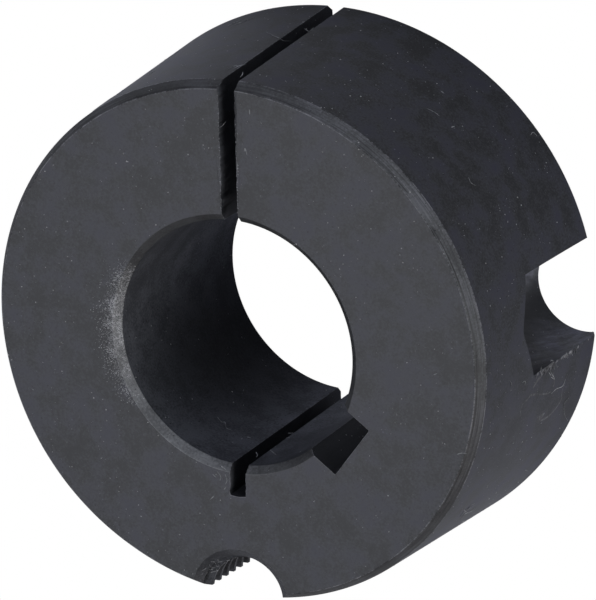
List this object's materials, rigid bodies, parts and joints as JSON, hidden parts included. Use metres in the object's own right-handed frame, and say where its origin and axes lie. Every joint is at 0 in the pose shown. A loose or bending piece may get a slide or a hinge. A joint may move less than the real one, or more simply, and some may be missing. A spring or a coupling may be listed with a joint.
{
  "type": "taper bush",
  "caption": "Split conical bush that clamps a pulley or sprocket on a keyed shaft, with half-round screw holes in its rim.",
  "frame": {"origin": "centre of the large end's face, on the bore's axis", "axes": "+Z along the bore from the large end to the small end, +Y towards the saw slit, +X towards the blind half-hole next to the keyway"},
  "size_m": [0.0566, 0.0565, 0.0254],
  "materials": {
    "phosphated_iron": "satin dark grey, turned and phosphated"
  },
  "bodies": {
    "root": {"taper_bush": "phosphated_iron"}
  },
  "joints": []
}
